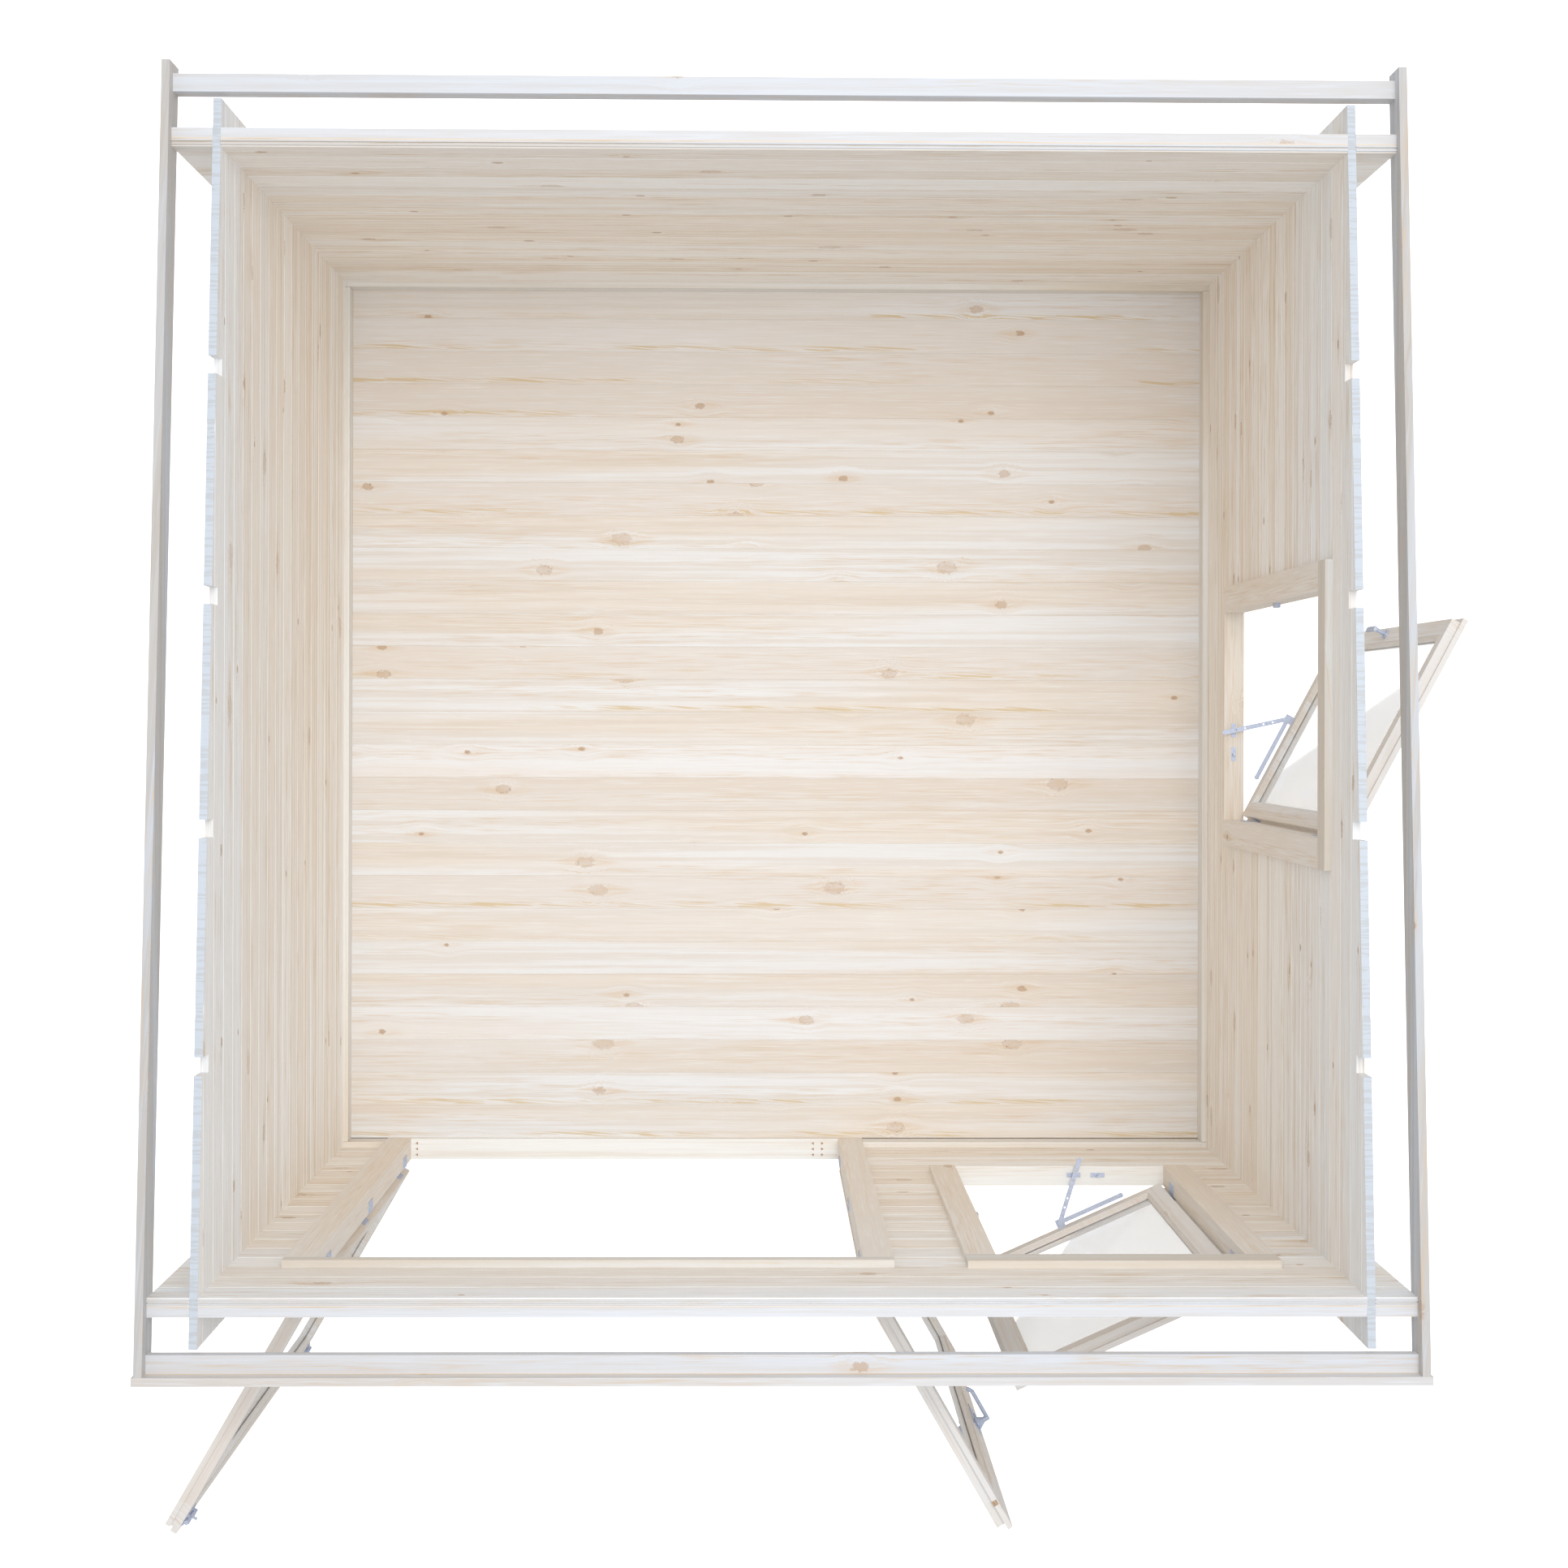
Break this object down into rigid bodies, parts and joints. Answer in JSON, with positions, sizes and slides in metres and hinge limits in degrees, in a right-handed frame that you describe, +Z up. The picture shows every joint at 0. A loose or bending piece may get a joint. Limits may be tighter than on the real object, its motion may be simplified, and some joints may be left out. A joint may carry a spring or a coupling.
{
  "type": "log cabin",
  "caption": "Square garden log cabin with a glazed double door, two side-hung windows and a board floor, its low single-slope roof left open before purlins and roof boards are laid.",
  "frame": {"origin": "under the middle of the room, on the ground, at the underside of the middle bearer", "axes": "X from left to right as seen from the door, Y from the front to the back, Z up"},
  "size_m": [3.4248, 3.7998, 2.3167],
  "materials": {
    "base": "rough sawn",
    "floor": "planed, untreated",
    "trim": "planed, untreated",
    "logs": "planed, untreated",
    "boards": "planed, untreated",
    "joinery": "planed, untreated",
    "glass": "clear",
    "zinc": "zinc plated"
  },
  "bodies": {
    "cabin": {"bearers": "base", "floor_boards": "floor", "skirting": "trim", "side_casings": "trim", "top_casings": "trim", "door_jambs": "trim", "door_head": "trim", "door_threshold": "trim", "front_window_jambs": "trim", "front_window_head_and_sill": "trim", "side_window_jambs": "trim", "side_window_head_and_sill": "trim", "back_wall": "logs", "left_wall": "logs", "right_wall_back": "logs", "right_wall_front": "logs", "right_wall_under_window": "logs", "right_wall_over_window": "logs", "front_wall_left": "logs", "front_wall_pier": "logs", "front_wall_right": "logs", "front_wall_under_window": "logs", "front_wall_top": "logs", "eaves_plates": "boards", "side_fascias": "boards", "front_fascia": "boards", "eaves_beams": "boards", "front_window_stiles": "joinery", "front_window_rails": "joinery", "side_window_stiles": "joinery", "side_window_rails": "joinery", "front_window_glass": "glass", "side_window_glass": "glass", "front_window_fittings": "zinc", "side_window_fittings": "zinc", "door_hinge_pintles": "zinc"},
    "left_leaf": {"left_door_stiles": "joinery", "left_door_rails": "joinery", "left_door_glass": "glass", "left_door_fittings": "zinc"},
    "right_leaf": {"right_door_stiles": "joinery", "right_door_rails": "joinery", "right_door_glass": "glass", "right_door_fittings": "zinc"},
    "lever": {"right_door_lever": "zinc"}
  },
  "joints": [
    {"name": "left_door", "type": "hinge", "parent": "cabin", "child": "left_leaf", "pos_m": [-1.234, -1.495, 0.961], "axis": [0, 0, 1], "range_deg": [0, 120]},
    {"name": "right_door", "type": "hinge", "parent": "cabin", "child": "right_leaf", "pos_m": [0.226, -1.495, 0.961], "axis": [0, 0, -1], "range_deg": [0, 120]},
    {"name": "door_lever", "type": "hinge", "parent": "right_leaf", "child": "lever", "pos_m": [0.56312, -2.09191, 1.111], "axis": [-0.866, -0.5, 0], "range_deg": [0, 40], "stiffness_Nm_per_rad": 1, "springref_deg": -22.92}
  ]
}
